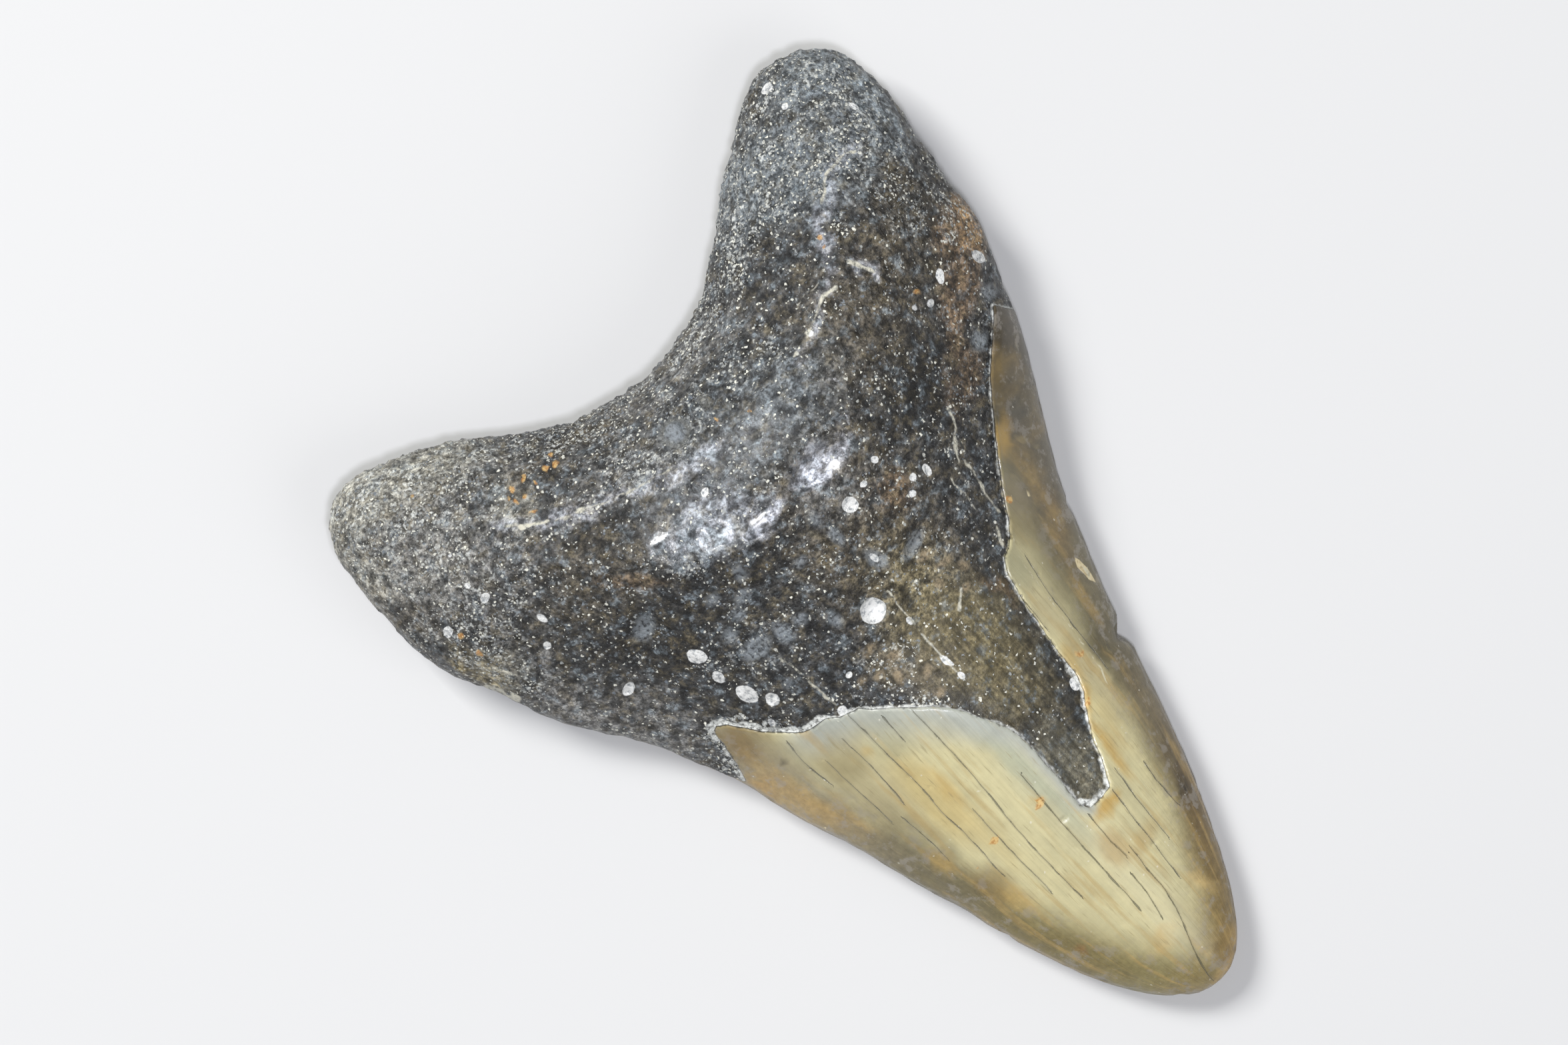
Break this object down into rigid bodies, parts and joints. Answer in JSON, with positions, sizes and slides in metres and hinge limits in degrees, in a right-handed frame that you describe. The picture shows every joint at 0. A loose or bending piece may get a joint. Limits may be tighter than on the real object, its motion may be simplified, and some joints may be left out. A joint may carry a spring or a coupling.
{
  "type": "fossil shark tooth",
  "caption": "Large triangular fossil shark tooth lying on its flat outer face, with a dark forked root and a pale enamel crown.",
  "frame": {"origin": "on the resting plane, under the middle of the tooth's length and width", "axes": "+Y from the tip of the crown to the root, +Z out of the bulging inner face, +X across the root"},
  "size_m": [0.0706, 0.0952, 0.0216],
  "materials": {
    "fossil": "mineralised root with a fine grain, and glossy enamel on the crown"
  },
  "bodies": {
    "root": {"tooth": "fossil"}
  },
  "joints": []
}
